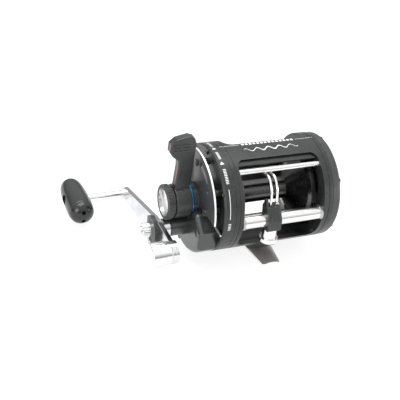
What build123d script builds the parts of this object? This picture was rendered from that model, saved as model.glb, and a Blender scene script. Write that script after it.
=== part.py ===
"""Level-wind trolling reel with a lever drag and a right-hand crank.

X runs along the spool axis with the handle on -X, -Y is the side the line leaves, +Z is up.
Shapes are drawn with the spool axis on Y = Z = 0 and lifted by AXIS_Z when they are saved,
so the origin is the middle of the reel foot's underside.
"""

import os
from math import acos, atan2, cos, degrees, hypot, pi, radians, sin, tan

from build123d import *

# Whole reel
AXIS_Z = 46.0
PLATE_R = 39.0
SCREW_RING_R = 36.2
SCREW_ANGLES = [28, 88, 148, 208, 268, 328]
HIDDEN_SCREW = 268
SCREW_R = 1.3
SCREW_HEAD_R = 2.0
SCREW_SEAT_R = SCREW_HEAD_R + 0.4
SCREW_SEAT = 0.8
SLOT_W = 0.5
RUNNING = 0.05
PAST = 1.0  # how far a cutting shape reaches past the face it opens

# Frame
RING_LEFT = (-37.7, -31.3)
RING_RIGHT = (31.6, 39.0)
RING_BORE = 30.0
SHELL_T = 3.5
SHELL_R = PLATE_R - SHELL_T
LIP_R = 37.3
LIP_ANGLES = (110, 118.5)
# Openings in the shell: middle angle, half angle, corner radius
FRONT_WINDOW = (166.2, 53.7, 5)
REAR_WINDOW = (50, 36, 6)
LOWER_WINDOW = (317, 18, 4)
SEAM = 0.35
SEAM_X = (-34.6, 35.2)
FOOT_PAD = (24, 30, 5.6)
FOOT_PAD_Z = -38.2
FOOT_PAD_CORNER = 3
FOOT_SCREWS = (-8.5, 8.5)
FOOT_SCREW_R = 1.5
FOOT_SCREW_HEAD = (2.8, 1.4)
FOOT_SCREW_REACH = 4.05
FOOT_HOLE_DEPTH = 4.5
SCREW_HOLE_DEPTH = 5.5

# Bars across the front, as (y, z)
TOP_BAR = (-21.0, 29.6)
TOP_BAR_R = 2.0
WORM = (-34.4, -2.97)
BAR_SOCKET = 3.0
TUBE_R = 4.9
TUBE_BORE = 3.6
TUBE_SLOT = (52, 3.0, 4.0)
WORM_R = 3.0
WORM_JOURNAL_R = WORM_R - 0.6
WORM_END_R = 1.5
BUSHING_R = WORM_R + 0.6
COLLAR_R = TUBE_R + 0.5
BUSHING_DEPTH = 3.2
COLLAR_T = 1.8

# Handle side
PLATE_OUT = -46.0
PLATE_WALL = (-44.0, -42.0)
PLATE_CHAMFER = 1.0
RECESS_R = 31.5
GEAR_CAVITY_R = 30.0
IDLER_POCKET_R = 14.0
IDLER_PIN_R = 1.5
IDLER_PIN_X = (-43.5, -38.2)
WORM_POCKET_R = 3.9
SLEEVE_HOLE_R = 5.0
HOUSING_FACE = -59.0
HOUSING_R = 18.5
HOUSING_RIM = PLATE_R - 0.4
HOUSING_ROUND = 3.0
HOUSING_CEILING = -57.0
HOUSING_CAVITY_R = 17.1
HOUSING_POINTS = [(19, -7), (-17.9, -2.2), (-29.2, -11.5), (-29.2, -50), (19, -50)]
HOUSING_CORNER = 5
HOUSING_SCREWS = [(-22.6, -14.8), (14.4, -10.8), (7.4, -36.0)]
HOUSING_SCREW_SEAT = (2.6, 1.2)
HOUSING_NOTCHES = [((-9.0, -35.5), -30), ((8.0, -33.0), 25)]
NOTCH = (1.2, 4.5, 1.6)
HUB_R = 12.2
HUB_END = -57.4
HUB_BORE = 5.2
HUB_GROOVES = (-56.6, -55.2)
HUB_GROOVE = (0.7, 0.5)
CRANK = (-2.6, -19.8)
BOSS_R = 6.8
BOSS_END = -71.6
BEARING_R = 5.4
BEARING_X = (-71.0, -60.5)

# Drag quadrant
QUADRANT_X = (-53.3, -52.1)
QUADRANT_FACE = (38.2, 12.8, 80, 180)
QUADRANT_SLOT = (33.2, 29.4, 100, 131)
QUADRANT_LEG = [(-53.3, 0), (-47.2, -10.0), (-46.0, -10.0), (-52.1, 0)]
QUADRANT_LEG_Y = -36.9
QUADRANT_LEG_W = 5.5
QUADRANT_POSTS = [(22.0, 177), (28.6, 88), (27.5, 144)]
QUADRANT_POST_R = 2.4
QUADRANT_STUD_R = 1.2
QUADRANT_STUD_HEAD = 1.3

# Palm side
COVER_X = 45.4
COVER_R = PLATE_R - 0.2
COVER_ROUND = 2.4
COVER_CAP = (47.6, 12, 1.2)
COVER_CAVITY = (42.6, 29.5)
COVER_BOSS = (40.0, 7.5)
PALM_SEAT_X = 44.0
BUTTON_SLOT = (6, 5.4, 12.6)
BUTTON_PLACE = (16, 17.0)
BUTTON_CAP = (2.8, 7.4, 7.0)

# Reel foot
FOOT_TOP = -41.0
FOOT_ARCH = 16.0
FOOT_T = 1.8
FOOT_HALF = 32.5
FOOT_LINE_END = FOOT_HALF + 4
FOOT_DROP = 2.5
FOOT_MIDDLE = 12.0
FOOT_CORNER = 2.4
FOOT_PLAN = [
    (9.8, -9), (6.9, -FOOT_HALF), (-6.9, -FOOT_HALF), (-9.8, -9),
    (-9.8, 9), (-6.9, FOOT_HALF), (6.9, FOOT_HALF), (9.8, 9),
]

# Gears
DRIVE_TEETH = 63
PINION_TEETH = 15
GEAR_X = (-56.0, -51.0)
WIND_TEETH = 20
IDLER_TEETH = 53
WORM_TEETH = 12
WIND_X = (-41.4, -38.6)
CLICK_TEETH = 30
CLICK_MODULE = 0.7
PINION_MODULE = 2 * hypot(*CRANK) / (DRIVE_TEETH + PINION_TEETH)
PINION_X = (-56.4, -50.6)
SLEEVE_END = -29.6
CRANK_ANGLE = degrees(atan2(CRANK[1], CRANK[0]))
WIND_MODULE = hypot(*WORM) / (WIND_TEETH / 2 + IDLER_TEETH + WORM_TEETH / 2)
WORM_ANGLE = degrees(atan2(WORM[1], WORM[0]))
IDLER_ARM = WIND_MODULE * (WIND_TEETH + IDLER_TEETH) / 2
IDLER = (IDLER_ARM * cos(radians(WORM_ANGLE)), IDLER_ARM * sin(radians(WORM_ANGLE)))

# Shafts
SPOOL_SHAFT_R = 2.5
SPOOL_SHAFT_X = (-74.6, 45.0)
SLEEVE_R = 3.9
DRIVE_SHAFT_R = 4.0
DRIVE_SHAFT_END = -42.4

# Spool
ARBOR_R = 8.2
ARBOR_HALF = 17.0
CONE_R = 24.0
FLANGE_R = 29.0
FLANGE_X = (26.3, 29.2)
SPOOL_BEARING_R = 6.0
SPOOL_BEARING_W = 4.0
SPOOL_BORE_R = 4.2
SPOOL_HOLLOW = [(30, 24), (30, 9), (22.5, 9), (27.0, 22)]
DRAG_R = 28.0
PRESSURE_X = (-34.0, -31.0)

# Crank
ARM_X = (-82.5, -79.0)
ARM_LENGTH = 70.0
ARM_ANGLE = -9.5
ARM_END_R = 5.4
ARM_HUB_R = 9.0
WEIGHT = (-32.6, -20.0)
WEIGHT_R = 9.1
WEIGHT_STEP_R = 8.2
WEIGHT_X = (-96.4, -87.2)
RIVET_R = 2.5
POST_R = 3.2
POST_END = -125.5
LOCK_X = -85.6
LOCK_R = 10.2
LOCK_SCREW = (CRANK[0] - 0.6, CRANK[1] - 7.9)
LOCK_PIN_R = 0.8
NUT_X = -92.6
NUT_R = 5.4
NUT_BORE = 3.0
KNOB_X = -121.0
KNOB_TILT = 3.5
KNOB_R = 9.8
KNOB_FAR = 23.0
KNOB_NEAR = -23.4
CAP_X = -15.6
CAP_R = 9.3
BARREL_LINE = [(-15, 9.6), (-6, KNOB_R), (5, 9.5), (14.5, 8.6), (20, 6.8), (KNOB_FAR, 0)]

# Lever and preset knob
LEVER_BOSS_R = 12.4
LEVER_BOSS = (-70.2, -59.2)
CAM_RING_R = 12.8
CAM_END = HUB_END - 0.3
LEVER_T = 7.0
LEVER_POINTS = [
    (-58.9, 9), (-57.6, 30), (-56.4, 46), (-58.0, 50.4), (-62.2, 51.8), (-71.0, 50.0),
    (-75.0, 46.6), (-75.4, 40.6), (-73.4, 37.4), (-68.8, 33.6), (-68.6, 28), (-70.2, 9),
]
LEVER_RIBS = (41.4, 43.6, 45.8)
PRESET = (-76.4, -72.2)
PRESET_R = 12.7
PRESET_COLLAR_R = 11.2
PRESET_DISH_R = 9.6
KNURLS = 36

# Line guide
CARRIAGE_X = (-13.2, -2.8)
CARRIAGE_POINTS = [(-36.6, 7.4), (-41.6, -1.2), (-41.2, -9.4), (-29.0, -9.4), (-29.0, 7.4)]
HORN_POINTS = [(-36, 7), (-33.4, 12.6), (-31.4, 12.6), (-29.6, 7)]
HORN_T = 1.6
WIRE_R = 1.0
WIRE_X = (-9.7, -5.3)
WIRE_POINTS = [
    (-33.4, 4.4), (-33.9, 11.0), (-32.6, 18.2), (-29.6, 23.4),
    (-25.2, 26.2), (-21.0, 25.9), (-17.4, 25.4),
]
PAWL_X = -8.2
PAWL_Y = -35.3
PAWL_R = 1.1
PAWL_BOTTOM = -14.0

KNOB = (
    CRANK[0] + ARM_LENGTH * cos(radians(ARM_ANGLE)),
    CRANK[1] + ARM_LENGTH * sin(radians(ARM_ANGLE)),
)

os.makedirs("parts", exist_ok=True)


def save(name, shape):
    """Lift a shape from the spool axis to its height above the foot and write it."""
    if isinstance(shape, list):
        shape = Compound(children=shape)
    export_step(Pos(0, 0, AXIS_Z) * shape, "parts/" + name + ".step")


def polar(radius, angle, centre=(0, 0)):
    """Point in the YZ plane at an angle counted from +Y towards +Z."""
    return (
        centre[0] + radius * cos(radians(angle)),
        centre[1] + radius * sin(radians(angle)),
    )


def lift(sketch, x0, x1):
    """Extrude a YZ sketch from x0 to x1."""
    return extrude(Plane.YZ.offset(min(x0, x1)) * sketch, amount=abs(x1 - x0), dir=(1, 0, 0))


def rod(x0, x1, radius, centre=(0, 0)):
    """Cylinder along X."""
    return lift(Pos(centre[0], centre[1]) * Circle(radius), x0, x1)


def ring(x0, x1, outer, inner, centre=(0, 0)):
    """Tube along X."""
    return rod(x0, x1, outer, centre) - rod(min(x0, x1) - PAST, max(x0, x1) + PAST, inner, centre)


def sector(outer, inner, start, end):
    """Face between two radii and two angles."""
    middle = (start + end) / 2
    edges = [
        ThreePointArc(polar(outer, start), polar(outer, middle), polar(outer, end)),
        Line(polar(outer, end), polar(inner, end)),
        ThreePointArc(polar(inner, end), polar(inner, middle), polar(inner, start)),
        Line(polar(inner, start), polar(outer, start)),
    ]
    return make_face(edges)


def window(centre, half_angle, corner):
    """Rounded opening cut through the shell along the direction at the centre angle."""
    x0, x1 = RING_LEFT[1], RING_RIGHT[0]
    height = 2 * PLATE_R * sin(radians(half_angle))
    shape = extrude(RectangleRounded(x1 - x0, height, corner), amount=40)
    direction = polar(1, centre)
    out = (0, direction[0], direction[1])
    origin = ((x0 + x1) / 2, 15 * direction[0], 15 * direction[1])
    return Plane(origin=origin, x_dir=(1, 0, 0), z_dir=out) * shape


def involute_gear(teeth, module, turn, backlash=0.07):
    """Gear outline with one tooth centred on the angle turn, 20 degree pressure angle."""
    pitch = module * teeth / 2
    base = pitch * cos(radians(20))
    tip = pitch + 0.95 * module
    root = pitch - 1.2 * module
    pressure = tan(radians(20)) - radians(20)
    half = pi / (2 * teeth) - backlash / (2 * pitch)
    start = max(base, root + 0.05)
    flank = []
    for step in range(5):
        radius = start + (tip - start) * step / 4
        alpha = acos(min(1, base / radius))
        flank.append((radius, half + pressure - (tan(alpha) - alpha)))
    points = []
    for tooth in range(teeth):
        middle = radians(turn) + 2 * pi * tooth / teeth
        points.append((root, middle - flank[0][1] - 0.004))
        points += [(radius, middle - angle) for radius, angle in flank]
        points += [(radius, middle + angle) for radius, angle in reversed(flank)]
        points.append((root, middle + flank[0][1] + 0.004))
    outline = [(radius * cos(angle), radius * sin(angle)) for radius, angle in points]
    return make_face(Polyline(outline, close=True))


def plan_hull(first, first_r, second, second_r):
    """Outline around two circles."""
    circles = [Pos(*first) * Circle(first_r), Pos(*second) * Circle(second_r)]
    return make_hull([edge for circle in circles for edge in circle.edges()])


def screw(x, head_r, head_h, centre, outward, length):
    """Pan-head screw along X with a slot, its head seated on the plane x."""
    head = rod(x, x + outward * head_h, head_r, centre)
    slot = Pos(x + outward * head_h, centre[0], centre[1]) * Box(head_h, 2 * head_r + 1, SLOT_W)
    shank = rod(x - outward * length, x, SCREW_R, centre)
    return head - slot + shank


# Frame: two rings joined by a shell with three windows, a lip over the front window and a foot pad
shell = ring(RING_LEFT[0], RING_RIGHT[1], PLATE_R, SHELL_R)
frame = shell - window(*FRONT_WINDOW) - window(*REAR_WINDOW) - window(*LOWER_WINDOW)
frame += ring(*RING_LEFT, PLATE_R, RING_BORE)
frame += ring(*RING_RIGHT, PLATE_R, RING_BORE)
frame += lift(sector(LIP_R, SHELL_R, *LIP_ANGLES), RING_LEFT[1] - PAST, RING_RIGHT[0] + PAST)
foot_pad = Pos(0, 0, FOOT_PAD_Z) * Box(*FOOT_PAD)
foot_pad = fillet(foot_pad.edges().filter_by(Axis.Z), FOOT_PAD_CORNER)
frame += foot_pad - rod(-FOOT_PAD[0], FOOT_PAD[0], SHELL_R)
for x0, x1 in (RING_LEFT, RING_RIGHT):
    frame -= rod(x0 - PAST, x1 + PAST, BUSHING_R, WORM)
for side in (-1, 1):
    inner = RING_LEFT[1] if side < 0 else RING_RIGHT[0]
    outer = RING_LEFT[0] if side < 0 else RING_RIGHT[1]
    frame -= rod(inner - side * PAST, inner + side * BAR_SOCKET, TOP_BAR_R, TOP_BAR)
    for angle in SCREW_ANGLES:
        spot = polar(SCREW_RING_R, angle)
        frame -= rod(outer + side * PAST, outer - side * SCREW_HOLE_DEPTH, SCREW_R, spot)
for x0 in (RING_LEFT[0] - SEAM, *SEAM_X, RING_RIGHT[1] - SEAM):
    frame -= ring(x0, x0 + 2 * SEAM, PLATE_R + PAST, PLATE_R - SEAM)
for y in FOOT_SCREWS:
    frame -= Pos(0, y, FOOT_TOP) * Cylinder(FOOT_SCREW_R, 2 * FOOT_HOLE_DEPTH)
save("frame", frame)

# Bar over the window, the worm's slotted guard tube and the two flanged bushings
bar_x = (RING_LEFT[1] - BAR_SOCKET, RING_RIGHT[0] + BAR_SOCKET)
save("stabilizer_bar", rod(*bar_x, TOP_BAR_R, TOP_BAR))
tube = ring(RING_LEFT[1] + COLLAR_T, RING_RIGHT[0] - COLLAR_T, TUBE_R, TUBE_BORE, WORM)
save("worm_guard_tube", tube - Pos(0, WORM[0], WORM[1] - TUBE_R) * Box(*TUBE_SLOT))
bushings = []
for face, side in ((RING_LEFT[1], -1), (RING_RIGHT[0], 1)):
    bushing = ring(face, face + side * BUSHING_DEPTH, BUSHING_R, WORM_JOURNAL_R + RUNNING, WORM)
    bushing += ring(face, face - side * COLLAR_T, COLLAR_R, WORM_JOURNAL_R + RUNNING, WORM)
    bushings.append(bushing)
save("worm_bushings", bushings)

# Handle side plate: rim, recessed face, cavity for the level-wind gears
side_plate = rod(PLATE_OUT, RING_LEFT[0], PLATE_R)
side_plate = chamfer(side_plate.edges().group_by(Axis.X)[0], PLATE_CHAMFER)
side_plate -= rod(PLATE_OUT - PAST, PLATE_WALL[0], RECESS_R)
side_plate -= rod(PLATE_WALL[1], RING_LEFT[0] + PAST, GEAR_CAVITY_R)
side_plate -= rod(PLATE_WALL[1], RING_LEFT[0] + PAST, WORM_POCKET_R, WORM)
side_plate -= rod(PLATE_OUT, RING_LEFT[0], SLEEVE_HOLE_R)
side_plate -= rod(PLATE_OUT, RING_LEFT[0], DRIVE_SHAFT_R + RUNNING, CRANK)
side_plate -= rod(PLATE_WALL[1], RING_LEFT[0] + PAST, IDLER_POCKET_R, IDLER)
side_plate -= rod(IDLER_PIN_X[0], PLATE_WALL[1] + PAST, IDLER_PIN_R, IDLER)
plate_screws = []
for angle in SCREW_ANGLES:
    spot = polar(SCREW_RING_R, angle)
    side_plate -= rod(PLATE_OUT - PAST, PLATE_OUT + SCREW_SEAT, SCREW_SEAT_R, spot)
    side_plate -= rod(PLATE_OUT, RING_LEFT[0] + PAST, SCREW_R, spot)
    if angle != HIDDEN_SCREW:
        plate_screws.append(screw(PLATE_OUT + SCREW_SEAT, SCREW_HEAD_R, 1.8, spot, -1, 12.0))
for radius, angle in QUADRANT_POSTS:
    spot = polar(radius, angle)
    side_plate -= rod(PLATE_WALL[0] - PAST, PLATE_WALL[1] + PAST, QUADRANT_STUD_R, spot)
for spot in HOUSING_SCREWS:
    side_plate -= rod(PLATE_OUT - PAST, PLATE_WALL[1] + PAST, SCREW_R, spot)
save("handle_plate_screws", plate_screws)
save("handle_side_plate", side_plate)

# Gear housing: raised casting along the rim with the drive-shaft boss and the cam hub
outline = make_face(Polyline(HOUSING_POINTS, close=True))
outline = fillet(outline.vertices()[1:3], HOUSING_CORNER) & Circle(HOUSING_RIM)
housing = lift(outline, HOUSING_FACE, PLATE_WALL[0])
housing += rod(HOUSING_FACE, PLATE_WALL[0], HOUSING_R, CRANK) & rod(HOUSING_FACE, 0, HOUSING_RIM)
housing = fillet(housing.edges().group_by(Axis.X)[0], HOUSING_ROUND)
housing -= rod(HOUSING_FACE - PAST, HUB_END, CAM_RING_R + 0.7)
housing += rod(HUB_END, PLATE_WALL[0], HUB_R)
housing += rod(BOSS_END, HOUSING_FACE + 2, BOSS_R, CRANK)
housing -= ring(PLATE_OUT, PLATE_WALL[0] + PAST, PLATE_R + PAST, RECESS_R - 0.2)
housing -= rod(HOUSING_CEILING, PLATE_WALL[0] + PAST, HOUSING_CAVITY_R, CRANK)
housing -= rod(HOUSING_CEILING, PLATE_WALL[0] + PAST, HUB_BORE)
housing -= rod(HOUSING_FACE - PAST, PLATE_WALL[0] + PAST, SPOOL_SHAFT_R)
housing -= rod(BOSS_END - PAST, BEARING_X[1], BEARING_R, CRANK)
housing -= rod(BEARING_X[1] - PAST, HOUSING_CEILING + PAST, DRIVE_SHAFT_R + 0.5, CRANK)
for x0 in HUB_GROOVES:
    width, depth = HUB_GROOVE
    housing -= ring(x0, x0 + width, HUB_R + depth, HUB_R - depth)
seat_r, seat_depth = HOUSING_SCREW_SEAT
for spot in HOUSING_SCREWS:
    housing -= rod(HOUSING_FACE - PAST, HOUSING_FACE + seat_depth, seat_r, spot)
    housing -= rod(HOUSING_FACE - PAST, PLATE_WALL[0] + PAST, SCREW_R, spot)
for (y, z), turn in HOUSING_NOTCHES:
    housing -= Pos(HOUSING_FACE, y, z) * Rot(turn, 0, 0) * Box(*NOTCH)
save("gear_housing", housing)
housing_screws = []
for spot in HOUSING_SCREWS:
    housing_screws.append(screw(HOUSING_FACE + seat_depth, 2.2, 1.0, spot, -1, 16.0))
save("housing_screws", housing_screws)
save("anti_reverse_bearing", ring(*BEARING_X, BEARING_R, DRIVE_SHAFT_R + RUNNING, CRANK))

# Drag quadrant: sector plate with an arc slot, standing on three posts, one end bent to the plate
quadrant = lift(sector(*QUADRANT_FACE) - sector(*QUADRANT_SLOT), *QUADRANT_X)
leg_plane = Plane(origin=(0, QUADRANT_LEG_Y, 0), x_dir=(1, 0, 0), z_dir=(0, -1, 0))
leg = leg_plane * make_face(Polyline(QUADRANT_LEG, close=True))
quadrant += extrude(leg, amount=QUADRANT_LEG_W, dir=(0, 1, 0))
posts = []
for radius, angle in QUADRANT_POSTS:
    spot = polar(radius, angle)
    quadrant -= rod(QUADRANT_X[0] - PAST, QUADRANT_X[1] + PAST, QUADRANT_STUD_R, spot)
    post = ring(QUADRANT_X[1], PLATE_WALL[0], QUADRANT_POST_R, QUADRANT_STUD_R, spot)
    head_x = QUADRANT_X[0] - QUADRANT_STUD_HEAD
    post += rod(head_x, QUADRANT_X[0], QUADRANT_POST_R, spot)
    post -= Pos(head_x, *spot) * Box(1.2, 2 * QUADRANT_POST_R + PAST, 0.6)
    posts.append(post + rod(QUADRANT_X[0], PLATE_WALL[1], QUADRANT_STUD_R, spot))
save("drag_quadrant", quadrant)
save("quadrant_posts", posts)

# Palm side cover with its screws and a bearing cap
cap_x, cap_r, cap_round = COVER_CAP
cover = rod(RING_RIGHT[1], COVER_X, COVER_R)
cover = fillet(cover.edges().group_by(Axis.X)[-1], COVER_ROUND)
cover += rod(COVER_X - 0.4, cap_x, cap_r)
cover = fillet(cover.edges().group_by(Axis.X)[-1], cap_round)
cover -= rod(RING_RIGHT[1] - PAST, *COVER_CAVITY)
cover += rod(COVER_BOSS[0], COVER_CAVITY[0] + 0.4, COVER_BOSS[1])
cover -= rod(COVER_BOSS[0] - PAST, SPOOL_SHAFT_X[1], SPOOL_SHAFT_R)
cover -= Pos(44, BUTTON_PLACE[0], 14.5) * Box(*BUTTON_SLOT)
palm_screws = []
for angle in SCREW_ANGLES:
    spot = polar(SCREW_RING_R, angle)
    cover -= rod(RING_RIGHT[1] - PAST, cap_x, SCREW_R, spot)
    cover -= rod(PALM_SEAT_X, cap_x, SCREW_SEAT_R, spot)
    palm_screws.append(screw(PALM_SEAT_X, SCREW_HEAD_R, 1.5, spot, 1, 10.1))
save("palm_side_cover", cover)
save("palm_plate_screws", palm_screws)

# Click button slides in the cover's slot; its tongue points at the click wheel on the spool
button_y, button_z = BUTTON_PLACE
button = Pos(47.1, button_y, button_z) * Box(*BUTTON_CAP)
button = fillet(button.edges().group_by(Axis.X)[-1], 1.0)
button -= [Pos(48.5, button_y, button_z + dz) * Box(0.8, 9, 0.6) for dz in (-1.8, 0, 1.8)]
button += Pos(43.9, button_y, button_z) * Box(3.8, 4.8, 4.6)
save("click_button", button)
TONGUE_ANGLE = 36.9
tongue = Pos(35.8, button_y, button_z) * Box(12.4, 2.0, 1.6)
tip = polar(15.9, TONGUE_ANGLE, (0, button_z - 12.0))
tongue += Pos(30.1, *tip) * Rot(TONGUE_ANGLE, 0, 0) * Box(1.0, 8.4, 1.6)
save("click_tongue", tongue)

# Reel foot: arched stainless saddle, narrower and dropping slightly at both ends
foot_line = Polyline([
    (0, -FOOT_LINE_END, FOOT_TOP - FOOT_DROP), (0, -FOOT_MIDDLE, FOOT_TOP),
    (0, FOOT_MIDDLE, FOOT_TOP), (0, FOOT_LINE_END, FOOT_TOP - FOOT_DROP),
])
section = Pos(0, FOOT_ARCH) * (Circle(FOOT_ARCH) - Circle(FOOT_ARCH - FOOT_T))
section &= Pos(0, 4) * Rectangle(28, 9)
section_plane = Plane(origin=foot_line @ 0, x_dir=(1, 0, 0), z_dir=foot_line % 0)
foot = sweep(section_plane * section, path=foot_line, transition=Transition.RIGHT)
plan_face = fillet(make_face(Polyline(FOOT_PLAN, close=True)).vertices(), FOOT_CORNER)
foot &= Pos(0, 0, -AXIS_Z) * extrude(plan_face, amount=10)
foot_screws = []
for y in FOOT_SCREWS:
    head_r, head_h = FOOT_SCREW_HEAD
    foot -= Pos(0, y, FOOT_TOP) * Cylinder(FOOT_SCREW_R, 4 * FOOT_T)
    head = Pos(0, y, FOOT_TOP - FOOT_T - head_h / 2) * Cylinder(head_r, head_h)
    head -= Pos(0, y, FOOT_TOP - FOOT_T - head_h) * Box(4.4, 0.8, 1.2)
    shank = Cylinder(FOOT_SCREW_R, FOOT_SCREW_REACH + FOOT_T)
    foot_screws.append(head + Pos(0, y, FOOT_TOP + (FOOT_SCREW_REACH - FOOT_T) / 2) * shank)
foot -= Pos(0, 0, FOOT_TOP - FOOT_T - 2) * Box(6.4, 2 * FOOT_MIDDLE - 0.6, 4)
save("reel_foot", foot)
save("foot_screws", foot_screws)

# Spool shaft, spool, bearings, drag disc, pressure plate, pinion, click wheel
save("spool_shaft", rod(*SPOOL_SHAFT_X, SPOOL_SHAFT_R))
flange_in, flange_out = FLANGE_X
seat_r, seat_x = SPOOL_BEARING_R, flange_out - SPOOL_BEARING_W
half_profile = [
    (ARBOR_HALF, ARBOR_R), (flange_in, CONE_R), (flange_in, FLANGE_R), (flange_out, FLANGE_R),
    (flange_out, seat_r), (seat_x, seat_r), (seat_x, SPOOL_BORE_R),
]
profile = half_profile + [(-x, y) for x, y in reversed(half_profile)]
spool = revolve(Plane.XY * make_face(Polyline(profile, close=True)), Axis.X, 360)
for side in (-1, 1):
    hollow = [(side * x, y) for x, y in SPOOL_HOLLOW]
    spool -= revolve(Plane.XY * make_face(Polyline(hollow, close=True)), Axis.X, 360)
save("spool", spool)
bearing_x = ((-flange_out, -seat_x), (seat_x, flange_out))
save("spool_bearings", [ring(*x, seat_r, SPOOL_SHAFT_R + RUNNING) for x in bearing_x])
save("drag_disc", ring(PRESSURE_X[1], -flange_out, DRAG_R, 8.0))
save("pressure_plate", ring(*PRESSURE_X, DRAG_R, SLEEVE_R))
pinion = lift(involute_gear(PINION_TEETH, PINION_MODULE, CRANK_ANGLE), *PINION_X)
pinion += rod(PINION_X[1], SLEEVE_END, SLEEVE_R)
pinion -= rod(PINION_X[0] - PAST, SLEEVE_END + PAST, SPOOL_SHAFT_R + RUNNING)
save("pinion", pinion)
wind_gear = lift(involute_gear(WIND_TEETH, WIND_MODULE, WORM_ANGLE), *WIND_X)
save("level_wind_drive_gear", wind_gear - rod(-45, -35, SLEEVE_R))
click_wheel = lift(involute_gear(CLICK_TEETH, CLICK_MODULE, 0), flange_out, flange_out + 1.4)
save("click_wheel", click_wheel - rod(28, 32, 7))

# Crank train: shaft, gear, hub sleeve, arm, lock plate, nut, screw, counterweight, knob post
drive_shaft = rod(LOCK_X, DRIVE_SHAFT_END, DRIVE_SHAFT_R, CRANK)
save("drive_shaft", drive_shaft + rod(NUT_X - 1.0, LOCK_X, NUT_BORE, CRANK))
drive_turn = CRANK_ANGLE + 180 + 180 / DRIVE_TEETH
drive_gear = Pos(*CRANK) * involute_gear(DRIVE_TEETH, PINION_MODULE, drive_turn)
drive_gear = lift(drive_gear, *GEAR_X)
drive_gear -= rod(GEAR_X[0] - PAST, GEAR_X[1] + PAST, DRIVE_SHAFT_R, CRANK)
for angle in range(0, 360, 60):
    drive_gear -= rod(GEAR_X[0] - PAST, GEAR_X[1] + PAST, 2.4, polar(10, angle, CRANK))
save("drive_gear", drive_gear)
sleeve = ring(ARM_X[1], BOSS_END - 0.4, BOSS_R, DRIVE_SHAFT_R, CRANK)
outer_edge = sleeve.edges().group_by(Axis.X)[-1].sort_by(Edge.length)[-1]
save("crank_hub_sleeve", fillet(outer_edge, 0.6))
THROUGH_ARM = (ARM_X[0] - 8, ARM_X[1] + 8)
arm = lift(plan_hull(KNOB, ARM_END_R, CRANK, ARM_HUB_R), *ARM_X)
arm += lift(plan_hull(CRANK, ARM_HUB_R, WEIGHT, WEIGHT_STEP_R), *ARM_X)
arm = chamfer(arm.edges().group_by(Axis.X)[0] + arm.edges().group_by(Axis.X)[-1], 0.5)
arm += rod(ARM_X[1] - 0.5, ARM_X[1] + 1.6, 8.0, WEIGHT)
arm -= rod(*THROUGH_ARM, DRIVE_SHAFT_R, CRANK)
arm -= rod(*THROUGH_ARM, RIVET_R, WEIGHT)
arm -= rod(*THROUGH_ARM, RIVET_R, KNOB)
save("crank_arm", arm)
lock_face = Pos(*CRANK) * Circle(LOCK_R) & Pos(CRANK[0] - 1.4, CRANK[1]) * Rectangle(17.2, 22)
lock_plate = lift(lock_face, LOCK_X, ARM_X[0])
lock_plate -= rod(*THROUGH_ARM, DRIVE_SHAFT_R, CRANK)
lock_plate -= rod(*THROUGH_ARM, LOCK_PIN_R, LOCK_SCREW)
save("lock_plate", lock_plate)
nut = rod(NUT_X, LOCK_X, NUT_R, CRANK)
nut = chamfer(nut.edges().group_by(Axis.X)[0], 0.8)
for angle in range(0, 360, 45):
    nut -= rod(NUT_X - PAST, LOCK_X - 1.2, 1.1, polar(NUT_R + 0.5, angle, CRANK))
save("handle_nut", nut - rod(NUT_X - PAST, LOCK_X + PAST, NUT_BORE, CRANK))
lock_screw = rod(LOCK_X - 1.4, LOCK_X, 2.0, LOCK_SCREW)
cross = Box(1.0, 5, SLOT_W) + Box(1.0, SLOT_W, 5)
lock_screw -= Pos(LOCK_X - 1.4, *LOCK_SCREW) * cross
save("lock_screw", lock_screw + rod(LOCK_X, ARM_X[0], LOCK_PIN_R, LOCK_SCREW))
weight = rod(WEIGHT_X[0], WEIGHT_X[1], WEIGHT_R, WEIGHT)
weight += rod(WEIGHT_X[1], ARM_X[0], WEIGHT_STEP_R, WEIGHT)
weight = fillet(weight.edges().group_by(Axis.X)[0], 1.2)
save("counterweight", weight + rod(ARM_X[0] - 1, ARM_X[1] + 1.0, RIVET_R, WEIGHT))
post = rod(ARM_X[0] - 2.0, ARM_X[0], 4.6, KNOB)
post += rod(POST_END, ARM_X[0], POST_R, KNOB)
post += rod(ARM_X[0], ARM_X[1] + 0.6, RIVET_R, KNOB)
save("knob_post", post - rod(POST_END - PAST, POST_END + 5, 1.4, KNOB))
knob_screw = rod(POST_END - 1.6, POST_END, 4.2, KNOB)
knob_screw -= Pos(POST_END - 1.6, *KNOB) * Box(1.2, 9, 0.8)
save("knob_screw", knob_screw + rod(POST_END, POST_END + 5, 1.4, KNOB))

# Barrel knob turning on the post, with a screwed-in end cap towards the front
barrel_face = make_face([
    Line((CAP_X, 0), (CAP_X, CAP_R)), Line((CAP_X, CAP_R), BARREL_LINE[0]), Spline(BARREL_LINE),
    Line((KNOB_FAR, 0), (CAP_X, 0)),
])
cap_line = Spline([(CAP_X, CAP_R), (-19.2, 8.5), (-22.2, 5.4), (KNOB_NEAR, 0)])
cap_face = make_face([
    cap_line, Line((KNOB_NEAR, 0), (CAP_X, 0)), Line((CAP_X, 0), (CAP_X, CAP_R)),
])
knob_place = Pos(KNOB_X, *KNOB) * Rot(KNOB_TILT, 0, 0) * Rot(0, 0, 90)
barrel = knob_place * revolve(barrel_face, Axis.X, 360)
barrel -= rod(-140, -100, POST_R + RUNNING, KNOB)
barrel -= rod(-140, POST_END + 0.1, 4.7, KNOB)
save("handle_knob", barrel)
cap = revolve(cap_face, Axis.X, 360)
for offset in (-4.0, 3.4):
    cap -= Pos(-21.6, 0, offset) * Rot(0, 90, 0) * Cylinder(1.6, 7)
save("knob_end_cap", knob_place * cap)

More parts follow.
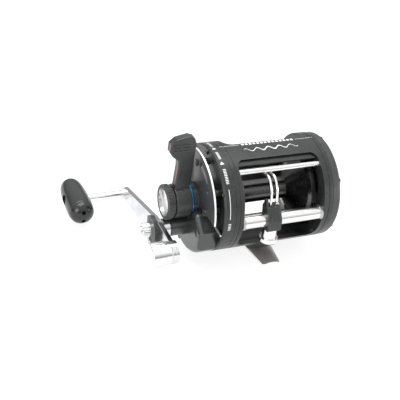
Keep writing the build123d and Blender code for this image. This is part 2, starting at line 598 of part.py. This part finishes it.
# Drag lever with its boss and cam ring, and the preset knob on the shaft's end
lever = rod(*LEVER_BOSS, LEVER_BOSS_R)
lever = fillet(lever.edges().group_by(Axis.X)[0], 0.8)
lever_face = make_face(Polyline(LEVER_POINTS, close=True))
lever_face = fillet(lever_face.vertices().filter_by_position(Axis.Y, 20, 60), 1.6)
blade = extrude(lever_face, amount=LEVER_T, dir=(0, 0, 1))
blade = fillet(blade.faces().filter_by(Axis.Z).edges().filter_by_position(Axis.Y, 20, 60), 1.0)
blade_origin = (0, LEVER_T / 2 - 0.5, 0)
lever += Plane(origin=blade_origin, x_dir=(1, 0, 0), z_dir=(0, -1, 0)) * blade
for z in LEVER_RIBS:
    lever += Pos(-67.0, -LEVER_T / 2 - 0.6, z) * Box(11.5, 0.8, 0.9)
lever -= rod(PRESET[0], CAM_END, SPOOL_SHAFT_R + RUNNING)
lever -= rod(LEVER_BOSS[1], CAM_END, LEVER_BOSS_R + 1.4)
save("drag_lever", lever)
save("cam_ring", ring(LEVER_BOSS[1], CAM_END, CAM_RING_R, SPOOL_SHAFT_R + RUNNING))
preset = chamfer(rod(*PRESET, PRESET_R).edges(), 0.5)
preset += rod(PRESET[1], LEVER_BOSS[0] - 0.7, PRESET_COLLAR_R)
for step in range(KNURLS):
    groove = polar(PRESET_R + 0.1, 360 / KNURLS * step)
    preset -= rod(PRESET[0] - PAST, LEVER_BOSS[0], 0.55, groove)
preset -= rod(PRESET[0] - PAST, PRESET[0] + 1.4, PRESET_DISH_R)
grip = Pos(PRESET[0] + 0.9, 0, 0) * Rot(35, 0, 0) * Box(1.8, 20.4, 3.6)
preset += grip & rod(PRESET[0] - PAST, PRESET[1], 12)
preset -= rod(SPOOL_SHAFT_X[0] - 0.2, LEVER_BOSS[0], SPOOL_SHAFT_R + RUNNING)
save("preset_knob", preset)

# Level wind: worm with its gear, idler on a pin, carriage with wires and pawl
worm = rod(WIND_X[0] - 0.2, RING_LEFT[0] + 0.7, WORM_END_R, WORM)
worm += rod(RING_LEFT[0] + 0.7, RING_RIGHT[0] + 3.0, WORM_JOURNAL_R, WORM)
worm += rod(RING_LEFT[1] + 2.0, RING_RIGHT[0] - 2.0, WORM_R, WORM)
save("worm_shaft", worm)
worm_turn = WORM_ANGLE + 180 + 180 / WORM_TEETH
worm_gear = Pos(*WORM) * involute_gear(WORM_TEETH, WIND_MODULE, worm_turn)
save("worm_gear", lift(worm_gear, *WIND_X) - rod(-45, -35, WORM_END_R, WORM))
idler_turn = WORM_ANGLE + 180 + 180 / IDLER_TEETH
idler = Pos(*IDLER) * involute_gear(IDLER_TEETH, WIND_MODULE, idler_turn)
idler = lift(idler, *WIND_X) - rod(-45, -35, IDLER_PIN_R + RUNNING, IDLER)
for angle in range(0, 360, 60):
    idler -= rod(-45, -35, 2.6, polar(7.6, angle, IDLER))
save("idler_gear", idler)
save("idler_pin", rod(*IDLER_PIN_X, IDLER_PIN_R, IDLER))

carriage_face = make_face(Polyline(CARRIAGE_POINTS, close=True))
carriage_face = fillet(carriage_face.vertices().filter_by_position(Axis.X, -50, -36), 0.8)
carriage = lift(carriage_face, *CARRIAGE_X)
horn = make_face(Polyline(HORN_POINTS, close=True))
carriage += lift(horn, CARRIAGE_X[0], CARRIAGE_X[0] + HORN_T)
carriage -= rod(CARRIAGE_X[0] - PAST, CARRIAGE_X[1] + PAST, TUBE_R + RUNNING, WORM)
carriage -= rod(CARRIAGE_X[0] - PAST, CARRIAGE_X[1] + PAST, FLANGE_R + 0.6)
for x in WIRE_X:
    carriage -= Pos(x, *WIRE_POINTS[0]) * Cylinder(WIRE_R + 0.25, 12)
carriage -= Pos(PAWL_X, WORM[0], -9) * Cylinder(PAWL_R, 8)
save("line_guide_carriage", carriage)
one_side = [(WIRE_X[0], y, z) for y, z in WIRE_POINTS]
other_side = [(WIRE_X[1], y, z) for y, z in reversed(WIRE_POINTS)]
bend = (sum(WIRE_X) / 2, WIRE_POINTS[-1][0] + 1.9, WIRE_POINTS[-1][1] + 0.7)
path = Spline(one_side + [bend] + other_side, tangents=[(0, 0, 1), (0, 0, -1)])
start = Plane(origin=path @ 0, z_dir=path % 0)
save("guide_wires", sweep(start * Circle(WIRE_R), path=path))
pawl_top = WORM[1] - WORM_R - 0.3
pawl_length = pawl_top - PAWL_BOTTOM
pawl_middle = (pawl_top + PAWL_BOTTOM) / 2
save("pawl", Pos(PAWL_X, WORM[0], pawl_middle) * Cylinder(PAWL_R, pawl_length))
pawl_cap = Pos(PAWL_X, PAWL_Y, -13.2) * Cylinder(5.2, 7.6)
pawl_cap += Pos(PAWL_X, PAWL_Y, -18.4) * Cylinder(6.6, 2.8)
pawl_cap += Pos(PAWL_X, PAWL_Y, -20.4) * Cylinder(4.6, 1.2)
pawl_cap -= Pos(PAWL_X, WORM[0], -11.7) * Cylinder(PAWL_R, 4.6)
save("pawl_cap", pawl_cap)
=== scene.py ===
"""Trolling reel: materials, fine details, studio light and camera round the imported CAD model."""

from math import cos, radians, sin

import bmesh
import bpy
from mathutils import Matrix, Vector


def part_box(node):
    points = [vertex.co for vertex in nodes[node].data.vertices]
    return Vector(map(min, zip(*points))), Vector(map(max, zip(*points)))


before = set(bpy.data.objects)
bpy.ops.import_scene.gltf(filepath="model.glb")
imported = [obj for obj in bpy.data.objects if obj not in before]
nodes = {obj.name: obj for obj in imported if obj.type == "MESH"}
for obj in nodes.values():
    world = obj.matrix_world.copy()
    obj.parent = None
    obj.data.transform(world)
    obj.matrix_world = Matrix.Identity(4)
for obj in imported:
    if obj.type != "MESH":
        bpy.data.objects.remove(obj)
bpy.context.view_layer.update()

MM = 0.001


def box_mm(name):
    """Lowest and highest corner of a node, in millimetres."""
    return [Vector(corner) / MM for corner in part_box(name)]


spool_low, spool_high = box_mm("spool")
AXIS_Z = (spool_low.z + spool_high.z) / 2
PLATE_RADIUS = box_mm("frame")[1].y
SIDE_PLATE_FACE = box_mm("handle_side_plate")[0].x
QUADRANT_RADIUS = -box_mm("drag_quadrant")[0].y
ARM_FACE = box_mm("crank_arm")[0].x
CAM_FACE = box_mm("cam_ring")[0].x
PRESET_FACE = box_mm("preset_knob")[0].x


class Look:
    """One procedural material. Positions are millimetres from the spool axis."""

    def __init__(self, name):
        self.material = bpy.data.materials.new(name)
        self.material.use_nodes = True
        self.tree = self.material.node_tree
        self.shader = self.tree.nodes["Principled BSDF"]
        metres = self.node("ShaderNodeTexCoord", "Object")
        self.place = self.node(
            "ShaderNodeMapping", Vector=metres, Location=(0, 0, -AXIS_Z), Scale=(1 / MM,) * 3
        )
        split = self.tree.nodes.new("ShaderNodeSeparateXYZ")
        self.put(split.inputs[0], self.place)
        self.x, self.y, self.z = split.outputs

    def put(self, socket, value):
        """Link or set one input."""
        if isinstance(value, bpy.types.NodeSocket):
            self.tree.links.new(value, socket)
        else:
            socket.default_value = value

    def node(self, kind, output=0, **inputs):
        """Add a node, fill its named inputs and give back one output."""
        made = self.tree.nodes.new(kind)
        for key, value in inputs.items():
            self.put(made.inputs[key.replace("_", " ")], value)
        return made.outputs[output]

    def math(self, operation, *values):
        """One arithmetic step."""
        made = self.tree.nodes.new("ShaderNodeMath")
        made.operation = operation
        for socket, value in zip(made.inputs, values):
            self.put(socket, value)
        return made.outputs[0]

    def span(self, value, low, high, first=0.0, second=1.0):
        """Value taken from low..high to first..second and held at the ends."""
        return self.node(
            "ShaderNodeMapRange",
            Value=value,
            From_Min=low,
            From_Max=high,
            To_Min=first,
            To_Max=second,
        )

    def noise(self, size, detail=3.0, stretch=(1, 1, 1), low=0.35, high=0.65):
        """Noise of that size in millimetres, spread to 0..1 and longer along a stretched axis."""
        scale = tuple(1 / (size * s) for s in stretch)
        place = self.node("ShaderNodeMapping", Vector=self.place, Scale=scale)
        noise = self.node("ShaderNodeTexNoise", Vector=place, Scale=1.0, Detail=detail)
        return self.span(noise, low, high)

    def band(self, value, start, end, soft=0.06):
        """1 where value is between start and end."""
        rise = self.span(value, start - soft, start + soft)
        fall = self.span(value, end - soft, end + soft, 1.0, 0.0)
        return self.math("MULTIPLY", rise, fall)

    def mix(self, factor, first, second):
        """Colour between two colours."""
        made = self.tree.nodes.new("ShaderNodeMix")
        made.data_type = "RGBA"
        for index, value in ((0, factor), (6, first), (7, second)):
            self.put(made.inputs[index], value)
        return made.outputs[2]

    def polar(self):
        """Radius and angle in degrees round the spool axis; the angle runs from +Y to +Z."""
        squares = self.math("ADD", self.math("POWER", self.y, 2), self.math("POWER", self.z, 2))
        radius = self.math("SQRT", squares)
        angle = self.math("DEGREES", self.math("ARCTAN2", self.z, self.y))
        return radius, self.math("MODULO", self.math("ADD", angle, 360.0), 360.0)

    def bump(self, height, depth):
        """Raise the surface by height times depth, in millimetres."""
        normal = self.node("ShaderNodeBump", Height=height, Distance=depth * MM)
        self.put(self.shader.inputs["Normal"], normal)

    def edges(self, radius, strength=1.0):
        """Up to strength along the convex and concave edges of the piece."""
        bevel = self.node("ShaderNodeBevel", Radius=radius * MM)
        face = self.node("ShaderNodeNewGeometry", "Normal")
        made = self.tree.nodes.new("ShaderNodeVectorMath")
        made.operation = "DOT_PRODUCT"
        self.put(made.inputs[0], bevel)
        self.put(made.inputs[1], face)
        return self.span(made.outputs["Value"], 0.995, 0.8, 0.0, strength)

    def set(self, **inputs):
        """Fill inputs of the shader."""
        for key, value in inputs.items():
            self.put(self.shader.inputs[key.replace("_", " ")], value)

    def tone(self):
        """The colour that feeds the shader so far."""
        return self.shader.inputs["Base Color"].links[0].from_socket


def grey(value, warm=0.0):
    """Neutral colour, a little warmer or cooler."""
    return (value * (1 + warm), value, value * (1 - warm), 1.0)


def tinted(value):
    """Black with the slight green-blue cast of moulded graphite."""
    return (value * 0.9, value, value * 0.97, 1.0)


WHITE_PAINT = (0.86, 0.87, 0.88, 1.0)
RED_PAINT = (0.42, 0.16, 0.13, 1.0)
BRASS = (0.72, 0.5, 0.2, 1.0)
ANODISED_BLUE = (0.04, 0.3, 0.68, 1.0)

# Surface detail in millimetres: sizes of the noises, widths of the rubbed edges, heights of the bumps
CLOUD, CAST_GRAIN, PAINT_GRAIN, SCUFF, RUB = 16, 0.35, 0.5, 1.1, 3
SMUDGE, HAIR = 7, 0.5
METAL_CLOUD, METAL_GRAIN = 9, 0.35
CAST_EDGE, METAL_EDGE = 0.4, 0.3
CAST_DEPTH, CHROME_DEPTH, BRUSHED_DEPTH = 0.02, 0.004, 0.008
PAINT_HEIGHT = 1.5  # times the grain's height


def moulded(name, tone, rough, grain=CAST_GRAIN, paint=None, paint_colour=WHITE_PAINT):
    """Black moulded or cast part with fine grain, dust and rubbed edges, and paint where it has marks."""
    look = Look(name)
    cloud = look.noise(CLOUD, 4)
    height = look.noise(grain, 2)
    scuffs = look.noise(SCUFF, 5, stretch=(1, 7, 1), low=0.62, high=0.74)
    rubbed = look.math("MULTIPLY", look.edges(CAST_EDGE, 0.55), look.noise(RUB, 3))
    colour = look.mix(cloud, tinted(tone * 0.85), tinted(tone * 1.25))
    colour = look.mix(look.math("MULTIPLY", scuffs, 0.25), colour, grey(tone * 3 + 0.03))
    colour = look.mix(rubbed, colour, grey(0.16))
    roughness = look.span(cloud, 0, 1, rough - 0.05, rough + 0.05)
    roughness = look.math("SUBTRACT", roughness, look.math("MULTIPLY", scuffs, 0.1))
    if paint:
        worn = look.noise(PAINT_GRAIN, 2, low=0.22, high=0.32)
        mask = look.math("MULTIPLY", paint(look), worn)
        colour = look.mix(mask, colour, paint_colour)
        roughness = look.math("ADD", roughness, look.math("MULTIPLY", mask, 0.1))
        height = look.math("ADD", height, look.math("MULTIPLY", mask, PAINT_HEIGHT))
    look.set(Base_Color=colour, Roughness=roughness)
    look.bump(height, CAST_DEPTH)
    return look


def polished(name, tone, rough, warm=0.0, streak=(1, 9, 1), depth=CHROME_DEPTH):
    """Chrome plate or polished metal with smudges and hairline scratches."""
    look = Look(name)
    smudge = look.noise(SMUDGE, 4)
    hair = look.noise(HAIR, 4, stretch=streak, low=0.5, high=0.75)
    colour = look.mix(smudge, grey(tone, warm), grey(tone * 0.92, warm))
    colour = look.mix(look.edges(METAL_EDGE, 0.25), colour, grey(tone * 0.55, warm))
    roughness = look.span(smudge, 0, 1, rough, rough + 0.06)
    roughness = look.math("ADD", roughness, look.math("MULTIPLY", hair, 0.06))
    look.set(Base_Color=colour, Metallic=1.0, Roughness=roughness)
    look.bump(hair, depth)
    return look


def brushed(name, colour, edge, rough, streak, shade):
    """Metal with a grain along the long side of the streak, in two shades, with its own edge colour."""
    look = Look(name)
    grain = look.noise(METAL_GRAIN, 3, stretch=streak)
    cloud = look.noise(METAL_CLOUD, 4)
    shaded = tuple(part * shade for part in colour[:3]) + (1.0,)
    tone = look.mix(look.edges(METAL_EDGE, 0.4), look.mix(grain, shaded, colour), edge)
    roughness = look.span(cloud, 0, 1, rough - 0.04, rough + 0.06)
    roughness = look.math("ADD", roughness, look.math("MULTIPLY", grain, 0.08))
    look.set(Base_Color=tone, Metallic=1.0, Roughness=roughness)
    look.bump(grain, BRUSHED_DEPTH)
    return look


def steel(name, tone, rough, streak):
    """Grey brushed or turned metal."""
    return brushed(name, grey(tone), grey(tone * 1.15), rough, streak, 0.86)


def coloured_metal(name, colour, streak):
    """Brass or anodised metal with pale rubbed edges."""
    return brushed(name, colour, grey(0.8), 0.25, streak, 0.8)


def outer_face(look, radius):
    """1 on the round outer faces of the frame and the side plate."""
    return look.band(radius, PLATE_RADIUS - 0.7, PLATE_RADIUS + 1.0)


# Marks on the handle side's rim, as angles in degrees and widths in millimetres
RIM_MIDDLE = SIDE_PLATE_FACE + 4.0
TICK_BLOCKS = (
    # first angle, last angle, pitch, half width
    (72, 86, 1.6, 0.9),
    (97, 109, 1.6, 1.0),
    (121, 137, 1.7, 1.1),
    (178, 187, 1.7, 1.0),
)
ARROWS = (91, 114)
ARROW_BACK, ARROW_FRONT, ARROW_HALF_WIDTH = 2.2, 1.4, 1.5
ARC_ENDS = (143, 174)
ARC_HALF_WIDTH = 0.2


def tick_block(look, angle, first, last, pitch, half_width):
    """A row of short ticks across the rim."""
    tick = look.band(look.math("MODULO", angle, pitch), 0.25 * pitch, 0.68 * pitch, 0.1)
    tick = look.math("MULTIPLY", tick, look.band(angle, first, last, 0.05))
    across = look.band(look.x, RIM_MIDDLE - half_width, RIM_MIDDLE + half_width, 0.1)
    return look.math("MULTIPLY", tick, across)


def arrowhead(look, angle, tip):
    """A triangle that widens along the rim."""
    back, front = tip - ARROW_BACK, tip + ARROW_FRONT
    reach = look.span(angle, back, front, 0.0, ARROW_HALF_WIDTH)
    aside = look.math("ABSOLUTE", look.math("SUBTRACT", look.x, RIM_MIDDLE))
    return look.math("MULTIPLY", look.math("LESS_THAN", aside, reach), look.band(angle, back, front, 0.05))


def rim_marks(look):
    """Ticks, arrowheads and a thin arc round the handle side's rim, in place of words."""
    radius, angle = look.polar()
    along = look.band(angle, *ARC_ENDS, 0.1)
    across = look.band(look.x, RIM_MIDDLE - ARC_HALF_WIDTH, RIM_MIDDLE + ARC_HALF_WIDTH, 0.08)
    total = look.math("MULTIPLY", along, across)
    for block in TICK_BLOCKS:
        total = look.math("MAXIMUM", total, tick_block(look, angle, *block))
    for tip in ARROWS:
        total = look.math("MAXIMUM", total, arrowhead(look, angle, tip))
    return look.math("MULTIPLY", total, outer_face(look, radius))


# Marks along the top plate, as angles in degrees and lengths along X in millimetres
STRIPE = (88.6, 89.1)
STRIPE_RUNS = ((-37.5, -22.5), (22.5, 36.5))
DASH_HALF_PITCH = 1.5
DASH_BAND = (87.4, 90.2)
DASH_REACH = 21.5
WAVE_ANGLE, WAVE_SWING = 99.5, 2.2
WAVE_RATE = 0.72  # radians per millimetre
WAVE_THICK, WAVE_THIN = 0.75, 0.25  # half widths of its line, in its middle and at its ends
WAVE_MIDDLE, WAVE_REACH = 4, 21  # where its line starts to thin, and its ends


def frame_stripes(look):
    """Pinstripe with short dashes and a wave below it along the top plate."""
    radius, angle = look.polar()
    ends = look.math("MAXIMUM", *(look.band(look.x, *run) for run in STRIPE_RUNS))
    line = look.math("MULTIPLY", look.band(angle, *STRIPE, 0.12), ends)
    dashes = look.band(look.math("PINGPONG", look.x, DASH_HALF_PITCH), 0.5, 2.0, 0.1)
    dashes = look.math("MULTIPLY", dashes, look.band(look.x, -DASH_REACH, DASH_REACH))
    dashes = look.math("MULTIPLY", dashes, look.band(angle, *DASH_BAND, 0.2))
    total = look.math("MAXIMUM", line, dashes)
    wave = look.math("SINE", look.math("MULTIPLY", look.x, WAVE_RATE))
    wave = look.math("MULTIPLY", wave, WAVE_SWING)
    offset = look.math("SUBTRACT", look.math("SUBTRACT", angle, WAVE_ANGLE), wave)
    thick = look.span(look.math("ABSOLUTE", look.x), WAVE_MIDDLE, WAVE_REACH, WAVE_THICK, WAVE_THIN)
    curl = look.math("LESS_THAN", look.math("ABSOLUTE", offset), thick)
    curl = look.math("MULTIPLY", curl, look.band(look.x, -WAVE_REACH, WAVE_REACH))
    return look.math("MULTIPLY", look.math("MAXIMUM", total, curl), outer_face(look, radius))


# The red line on the lever, in millimetres
LEVER_LINE_Y = (-1.9, -1.3)
LEVER_LINE_Z = (14, 47)


def lever_line(look):
    """Thin red line up the outer side of the lever's neck and head."""
    normal = look.node("ShaderNodeNewGeometry", "Normal")
    outward = look.span(look.node("ShaderNodeSeparateXYZ", "X", Vector=normal), -0.4, -0.7)
    line = look.math("MULTIPLY", outward, look.band(look.y, *LEVER_LINE_Y, 0.08))
    return look.math("MULTIPLY", line, look.band(look.z, *LEVER_LINE_Z, 0.5))


def housing_black():
    """Gear housing: a glossier moulding."""
    look = moulded("housing_black", 0.022, 0.2)
    look.set(IOR=1.75)
    return look


# Where the painted dark reflection lies on the crank arm's narrow side, in millimetres
CRANK_PAINTED_REFLECTION_X = (ARM_FACE + 0.3, ARM_FACE + 3.2)
CRANK_PAINTED_REFLECTION_Y = (-31, -8)


def chrome_crank():
    """Crank arm and sleeve, with a painted dark reflection along the arm's narrow side below its hub."""
    look = polished("chrome_crank", 0.74, 0.16, warm=-0.03, streak=(1, 9, 2))
    # Painted dark reflection: dark grey colour over the arm's narrow side below its hub
    side = look.band(look.x, *CRANK_PAINTED_REFLECTION_X, 0.15)
    below_hub = look.band(look.y, *CRANK_PAINTED_REFLECTION_Y, 1.5)
    look.set(Base_Color=look.mix(look.math("MULTIPLY", side, below_hub), look.tone(), grey(0.12)))
    return look


def quadrant_steel():
    """Dark brushed quadrant whose outer rim is painted near-white as a highlight."""
    look = steel("quadrant_steel", 0.17, 0.42, (1, 6, 1))
    # Painted highlight: near-white colour on the outer rim, standing in for the light its edge catches
    rim = look.span(look.polar()[0], QUADRANT_RADIUS - 0.3, QUADRANT_RADIUS - 0.1)
    look.set(Base_Color=look.mix(rim, look.tone(), grey(0.95)))
    return look


def cam_blue():
    """Cam ring: a blue anodised band on a black ring."""
    look = coloured_metal("blue_anodised", ANODISED_BLUE, (1, 4, 4))
    band = look.band(look.x, CAM_FACE + 0.2, CAM_FACE + 1.2, 0.1)
    look.set(Base_Color=look.mix(band, grey(0.02), look.tone()))
    return look


PRESET_RECESS = 9.7
PRESET_DEPTH = 3.4
RING_RATE = 14  # turned rings on the preset knob's face, in radians per millimetre


def preset_grey():
    """Preset knob: a pale turned face inside a dark knurled rim, over a black collar."""
    look = Look("preset_grey")
    radius = look.polar()[0]
    turned = look.span(look.math("SINE", look.math("MULTIPLY", radius, RING_RATE)), -1, 1)
    face = look.mix(turned, grey(0.62), grey(0.72))
    rim = look.mix(look.edges(0.3), grey(0.075), grey(0.3))
    front = look.band(look.x, PRESET_FACE - 0.6, PRESET_FACE + PRESET_DEPTH)
    pale = look.math("MULTIPLY", look.band(radius, -1, PRESET_RECESS), front)
    look.set(
        Base_Color=look.mix(pale, rim, face),
        Metallic=1.0,
        Roughness=look.span(pale, 0, 1, 0.42, 0.24),
    )
    look.bump(look.noise(METAL_GRAIN, 3, stretch=(1, 3, 3)), BRUSHED_DEPTH)
    return look


def assign(look, *names):
    """Give nodes that look as their only material."""
    for name in names:
        materials = nodes[name].data.materials
        materials.clear()
        materials.append(look.material)


# Black mouldings and castings
assign(moulded("frame_black", 0.014, 0.34, paint=frame_stripes), "frame")
assign(moulded("side_plate_black", 0.016, 0.36, paint=rim_marks), "handle_side_plate")
assign(moulded("casting_black", 0.034, 0.34), "palm_side_cover", "click_button")
assign(housing_black(), "gear_housing")
assign(moulded("lever_black", 0.026, 0.3, paint=lever_line, paint_colour=RED_PAINT), "drag_lever")
assign(moulded("carriage_black", 0.026, 0.3), "line_guide_carriage")
assign(
    moulded("hidden_black", 0.03, 0.5),
    "drag_disc", "idler_gear", "level_wind_drive_gear", "click_wheel",
)
assign(moulded("lock_black", 0.02, 0.3), "lock_plate")
assign(moulded("knob_black", 0.016, 0.16, 0.8), "handle_knob", "knob_end_cap")

# Polished metal
assign(polished("spool_black", 0.1, 0.2, streak=(1, 9, 9), depth=0.001), "spool")
assign(
    polished("chrome", 0.84, 0.16, warm=0.01),
    "stabilizer_bar", "worm_guard_tube", "guide_wires", "pawl_cap",
)
assign(chrome_crank(), "crank_arm", "crank_hub_sleeve")
assign(polished("chrome_weight", 0.84, 0.12, streak=(1, 9, 2)), "counterweight")
assign(
    polished("chrome_small", 0.82, 0.1),
    "knob_post", "handle_nut", "lock_screw", "knob_screw", "drive_shaft",
)
assign(polished("foot_steel", 0.92, 0.44, warm=0.03, streak=(1, 12, 1)), "reel_foot", "foot_screws")

# Brushed and turned metal
assign(quadrant_steel(), "drag_quadrant", "quadrant_posts")
assign(steel("turned_steel", 0.55, 0.25, (6, 1, 1)), "spool_shaft", "spool_bearings", "pressure_plate")
assign(
    steel("machined_steel", 0.5, 0.28, (1, 4, 4)),
    "drive_gear", "anti_reverse_bearing", "worm_shaft", "pawl", "idler_pin", "click_tongue",
    "worm_bushings",
)
assign(
    steel("screw_black", 0.08, 0.3, (1, 3, 1)),
    "handle_plate_screws", "palm_plate_screws", "housing_screws",
)
assign(coloured_metal("brass", BRASS, (1, 4, 4)), "pinion", "worm_gear")
assign(cam_blue(), "cam_ring")
assign(preset_grey(), "preset_knob")

# Studio, in metres
FLOOR_HALF = 20.0
FLOOR_GLOW = 0.82
HORIZON, ZENITH = 0.3, 1.2
FADE_START, FADE_END = 0.1, 0.6
LIGHT_AIM = Vector((0, 0, 0.04))
LIGHTS = (
    # name, place, size, watts
    ("overhead", (-0.1, 0.15, 0.9), (0.8, 0.6), 6.0),
    ("left_front", (-0.8, -0.5, 0.35), (0.5, 0.5), 3.0),
    ("right_front", (0.75, -0.6, 0.1), (0.4, 0.4), 4.0),
)
CAMERA_PLACE = (-0.26037, -0.45551, 0.34607)
CAMERA_AZIMUTH, CAMERA_ELEVATION, CAMERA_ROLL = -25.96, 30.94, 6.52
LENS, SENSOR_WIDTH = 73.65, 36.0  # millimetres
SHIFT_X, CLIP_START = -0.03, 0.01


def link(name, data):
    """Put a new object into the scene."""
    made = bpy.data.objects.new(name, data)
    bpy.context.scene.collection.objects.link(made)
    return made


def make_floor():
    """White paper that glows, so that it shows only soft shadows."""
    mesh = bpy.data.meshes.new("floor")
    build = bmesh.new()
    bmesh.ops.create_grid(build, x_segments=8, y_segments=8, size=FLOOR_HALF)
    build.to_mesh(mesh)
    build.free()
    look = Look("floor_white")
    tone = look.mix(look.noise(60, 3), grey(0.26), grey(0.28))
    look.set(Base_Color=tone, Roughness=0.7, Emission_Color=grey(1.0), Emission_Strength=FLOOR_GLOW)
    mesh.materials.append(look.material)
    return link("floor", mesh)


def make_sky():
    """White surroundings, dimmer at the horizon than overhead."""
    world = bpy.data.worlds.new("studio")
    world.use_nodes = True
    bpy.context.scene.world = world
    sky = world.node_tree
    background = sky.nodes["Background"]
    background.inputs["Color"].default_value = grey(1.0)
    height = sky.nodes.new("ShaderNodeSeparateXYZ")
    sky.links.new(sky.nodes.new("ShaderNodeTexCoord").outputs["Generated"], height.inputs[0])
    fade = sky.nodes.new("ShaderNodeMapRange")
    sky.links.new(height.outputs["Z"], fade.inputs["Value"])
    ends = {"From Min": FADE_START, "From Max": FADE_END, "To Min": HORIZON, "To Max": ZENITH}
    for key, value in ends.items():
        fade.inputs[key].default_value = value
    sky.links.new(fade.outputs[0], background.inputs["Strength"])


def area_light(name, place, size, power):
    """Soft rectangular light aimed at the reel."""
    data = bpy.data.lights.new(name, "AREA")
    data.shape = "RECTANGLE"
    data.size, data.size_y = size
    data.energy = power
    light = link(name, data)
    light.location = place
    light.rotation_euler = (LIGHT_AIM - Vector(place)).to_track_quat("-Z", "Y").to_euler()


def make_camera():
    """Camera from the handle's front quarter, rolled a little."""
    azimuth, elevation, roll = (radians(a) for a in (CAMERA_AZIMUTH, CAMERA_ELEVATION, CAMERA_ROLL))
    back = Vector((sin(azimuth) * cos(elevation), -cos(azimuth) * cos(elevation), sin(elevation)))
    level_right = Vector((cos(azimuth), sin(azimuth), 0))
    level_up = back.cross(level_right)
    right = cos(roll) * level_right + sin(roll) * level_up
    up = cos(roll) * level_up - sin(roll) * level_right
    data = bpy.data.cameras.new("camera")
    data.lens = LENS
    data.sensor_width = SENSOR_WIDTH
    data.shift_x = SHIFT_X
    data.clip_start = CLIP_START
    camera = link("camera", data)
    turn = Matrix((right, up, back)).transposed().to_4x4()
    camera.matrix_world = Matrix.Translation(CAMERA_PLACE) @ turn
    return camera


floor = make_floor()
make_sky()
for light in LIGHTS:
    area_light(*light)
bpy.context.scene.camera = make_camera()
bpy.context.scene.view_settings.view_transform = "Standard"
